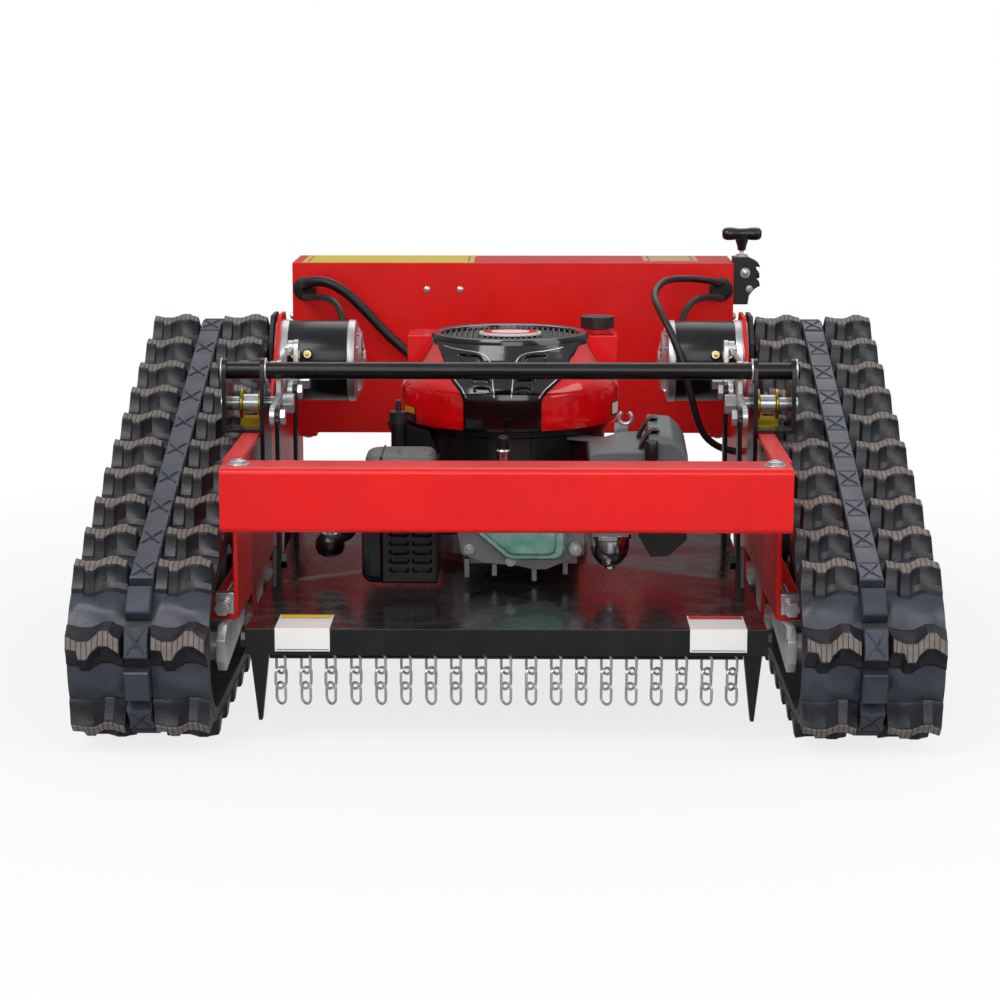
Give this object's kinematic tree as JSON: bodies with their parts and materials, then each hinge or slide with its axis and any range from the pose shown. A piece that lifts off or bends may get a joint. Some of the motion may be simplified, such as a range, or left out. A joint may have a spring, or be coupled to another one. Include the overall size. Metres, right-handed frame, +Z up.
{
  "type": "remote control slope mower",
  "caption": "Low tracked mower with triangular rubber tracks, floating front deck with chain guard, upright-shaft engine and rear control box.",
  "frame": {"origin": "on the ground under the middle of the machine", "axes": "+Z up, the front with the chain curtain faces -Y, +X is the side of the starter handle"},
  "size_m": [0.926, 1.0301, 0.5035],
  "materials": {
    "battery_case": "moulded case",
    "black_gloss": "glossy moulding",
    "black_paint": "satin black paint",
    "black_plastic": "textured moulding",
    "cable_rubber": "cable jacket",
    "cast_alloy": "cast",
    "cast_steel": "painted casting",
    "cover_alloy": "polished cast",
    "deck_black": "gloss black paint",
    "grey_plastic": "textured moulding",
    "red_button": "glossy",
    "red_gloss": "glossy moulding",
    "red_paint": "gloss powder coat",
    "rope_white": "braided",
    "track_rubber": "moulded rubber",
    "tread_rubber": "worn tread rubber",
    "zinc_steel": "zinc plated"
  },
  "bodies": {
    "root": {"side_frame_left": "red_paint", "side_frame_right": "red_paint", "front_beam": "red_paint", "cross_bar": "black_paint", "bar_stirrups": "black_paint", "pivot_shafts": "zinc_steel", "track_belt_left": "track_rubber", "track_belt_right": "track_rubber", "tread_lugs_left": "tread_rubber", "tread_lugs_right": "tread_rubber", "idler_yokes": "zinc_steel", "gearcases": "cast_steel", "motor_cans": "black_paint", "motor_end_shields": "cast_alloy", "control_box": "red_paint", "box_cover": "red_paint", "battery_pack": "battery_case", "drive_controller": "cast_alloy", "rope_guide": "black_plastic", "cables": "cable_rubber", "frame_fasteners": "zinc_steel", "starter_rope": "rope_white"},
    "deck": {"mower_deck": "deck_black", "hanger_straps": "black_paint", "engine_block": "cast_alloy", "fan_base": "black_plastic", "blower_housing": "red_gloss", "shroud_bib": "black_gloss", "screen_cover": "black_plastic", "valve_cover": "cover_alloy", "muffler": "black_paint", "spark_plug": "zinc_steel", "carburetor": "cast_alloy", "air_filter": "grey_plastic", "fuel_tank": "red_gloss"},
    "chain_curtain": {"chain_curtain": "zinc_steel"},
    "cutter": {"cutter_blade": "zinc_steel", "crankshaft": "cast_steel"},
    "fuel_cap": {"fuel_cap": "black_plastic"},
    "oil_dipstick": {"oil_dipstick": "black_plastic"},
    "throttle_lever": {"throttle_lever": "zinc_steel"},
    "starter_handle": {"starter_handle": "black_plastic"},
    "stop_button": {"stop_button": "red_button"},
    "sprocket_left": {"sprocket_left": "cast_steel"},
    "front_idler_left": {"front_idler_left": "cast_steel"},
    "rear_idler_left": {"rear_idler_left": "cast_steel"},
    "road_wheel_front_left": {"road_wheel_front_left": "black_plastic"},
    "road_wheel_rear_left": {"road_wheel_rear_left": "black_plastic"},
    "sprocket_right": {"sprocket_right": "cast_steel"},
    "front_idler_right": {"front_idler_right": "cast_steel"},
    "rear_idler_right": {"rear_idler_right": "cast_steel"},
    "road_wheel_front_right": {"road_wheel_front_right": "black_plastic"},
    "road_wheel_rear_right": {"road_wheel_rear_right": "black_plastic"},
    "front_rocker_left": {"front_rocker_left": "zinc_steel"},
    "rear_rocker_left": {"rear_rocker_left": "zinc_steel"},
    "tie_rod_left": {"tie_rod_left": "zinc_steel"},
    "front_rocker_right": {"front_rocker_right": "zinc_steel"},
    "rear_rocker_right": {"rear_rocker_right": "zinc_steel"},
    "tie_rod_right": {"tie_rod_right": "zinc_steel"}
  },
  "joints": [
    {"name": "sprocket_spin_left", "type": "hinge", "parent": "root", "child": "sprocket_left", "pos_m": [-0.388, 0.205, 0.3], "axis": [1, 0, 0], "continuous": true},
    {"name": "front_idler_spin_left", "type": "hinge", "parent": "root", "child": "front_idler_left", "pos_m": [-0.388, -0.412, 0.10275], "axis": [1, 0, 0], "continuous": true},
    {"name": "rear_idler_spin_left", "type": "hinge", "parent": "root", "child": "rear_idler_left", "pos_m": [-0.388, 0.39463, 0.10275], "axis": [1, 0, 0], "continuous": true},
    {"name": "road_wheel_front_spin_left", "type": "hinge", "parent": "root", "child": "road_wheel_front_left", "pos_m": [-0.388, -0.13, 0.0744], "axis": [1, 0, 0], "continuous": true},
    {"name": "road_wheel_rear_spin_left", "type": "hinge", "parent": "root", "child": "road_wheel_rear_left", "pos_m": [-0.388, 0.13, 0.0744], "axis": [1, 0, 0], "continuous": true},
    {"name": "sprocket_spin_right", "type": "hinge", "parent": "root", "child": "sprocket_right", "pos_m": [0.388, 0.205, 0.3], "axis": [1, 0, 0], "continuous": true},
    {"name": "front_idler_spin_right", "type": "hinge", "parent": "root", "child": "front_idler_right", "pos_m": [0.388, -0.412, 0.10275], "axis": [1, 0, 0], "continuous": true},
    {"name": "rear_idler_spin_right", "type": "hinge", "parent": "root", "child": "rear_idler_right", "pos_m": [0.388, 0.39463, 0.10275], "axis": [1, 0, 0], "continuous": true},
    {"name": "road_wheel_front_spin_right", "type": "hinge", "parent": "root", "child": "road_wheel_front_right", "pos_m": [0.388, -0.13, 0.0744], "axis": [1, 0, 0], "continuous": true},
    {"name": "road_wheel_rear_spin_right", "type": "hinge", "parent": "root", "child": "road_wheel_rear_right", "pos_m": [0.388, 0.13, 0.0744], "axis": [1, 0, 0], "continuous": true},
    {"name": "front_rocker_swing_left", "type": "hinge", "parent": "root", "child": "front_rocker_left", "pos_m": [-0.271, -0.12, 0.329], "axis": [-1, 0, 0], "range_deg": [-12, 16]},
    {"name": "rear_rocker_swing_left", "type": "hinge", "parent": "root", "child": "rear_rocker_left", "pos_m": [-0.271, 0.1, 0.329], "axis": [-1, 0, 0], "range_deg": [-12, 16]},
    {"name": "tie_rod_swing_left", "type": "hinge", "parent": "front_rocker_left", "child": "tie_rod_left", "pos_m": [-0.278, -0.12, 0.369], "axis": [-1, 0, 0], "range_deg": [-16, 12]},
    {"name": "front_rocker_swing_right", "type": "hinge", "parent": "root", "child": "front_rocker_right", "pos_m": [0.271, -0.12, 0.329], "axis": [-1, 0, 0], "range_deg": [-12, 16]},
    {"name": "rear_rocker_swing_right", "type": "hinge", "parent": "root", "child": "rear_rocker_right", "pos_m": [0.271, 0.1, 0.329], "axis": [-1, 0, 0], "range_deg": [-12, 16]},
    {"name": "tie_rod_swing_right", "type": "hinge", "parent": "front_rocker_right", "child": "tie_rod_right", "pos_m": [0.278, -0.12, 0.369], "axis": [-1, 0, 0], "range_deg": [-16, 12]},
    {"name": "deck_level", "type": "hinge", "parent": "front_rocker_left", "child": "deck", "pos_m": [-0.262, -0.20491, 0.325], "axis": [-1, 0, 0], "range_deg": [-16, 12]},
    {"name": "chain_swing", "type": "hinge", "parent": "deck", "child": "chain_curtain", "pos_m": [0, -0.428, 0.0955], "axis": [-1, 0, 0], "range_deg": [-60, 60]},
    {"name": "cutter_spin", "type": "hinge", "parent": "deck", "child": "cutter", "pos_m": [0, 0, 0.2], "axis": [0, 0, 1], "continuous": true},
    {"name": "fuel_cap_turn", "type": "hinge", "parent": "deck", "child": "fuel_cap", "pos_m": [0.11, 0.153, 0.395], "axis": [0, 0, 1], "range_deg": [0, 90]},
    {"name": "oil_dipstick_turn", "type": "hinge", "parent": "deck", "child": "oil_dipstick", "pos_m": [-0.132, -0.096, 0.315], "axis": [0, 0, 1], "range_deg": [0, 90]},
    {"name": "throttle_turn", "type": "hinge", "parent": "deck", "child": "throttle_lever", "pos_m": [0.132, -0.118, 0.289], "axis": [0, 0, 1], "range_deg": [-20, 25]},
    {"name": "starter_pull", "type": "slide", "parent": "root", "child": "starter_handle", "axis": [0, 0, 1], "range_m": [0, 0.35], "stiffness_N_per_m": 30, "springref_m": -0.1, "deforming": ["starter_rope"]},
    {"name": "stop_button_press", "type": "slide", "parent": "root", "child": "stop_button", "axis": [0, -1, 0], "range_m": [0, 0.004]}
  ],
  "couplings": [
    {"joint": "front_idler_spin_left", "follows": "sprocket_spin_left", "ratio": 1},
    {"joint": "rear_idler_spin_left", "follows": "sprocket_spin_left", "ratio": 1},
    {"joint": "road_wheel_front_spin_left", "follows": "sprocket_spin_left", "ratio": 1.8582},
    {"joint": "road_wheel_rear_spin_left", "follows": "sprocket_spin_left", "ratio": 1.8582},
    {"joint": "front_idler_spin_right", "follows": "sprocket_spin_right", "ratio": 1},
    {"joint": "rear_idler_spin_right", "follows": "sprocket_spin_right", "ratio": 1},
    {"joint": "road_wheel_front_spin_right", "follows": "sprocket_spin_right", "ratio": 1.8582},
    {"joint": "road_wheel_rear_spin_right", "follows": "sprocket_spin_right", "ratio": 1.8582},
    {"joint": "rear_rocker_swing_left", "follows": "front_rocker_swing_left", "ratio": 1},
    {"joint": "tie_rod_swing_left", "follows": "front_rocker_swing_left", "ratio": -1},
    {"joint": "front_rocker_swing_right", "follows": "front_rocker_swing_left", "ratio": 1},
    {"joint": "rear_rocker_swing_right", "follows": "front_rocker_swing_left", "ratio": 1},
    {"joint": "tie_rod_swing_right", "follows": "front_rocker_swing_left", "ratio": -1},
    {"joint": "deck_level", "follows": "front_rocker_swing_left", "ratio": -1}
  ]
}
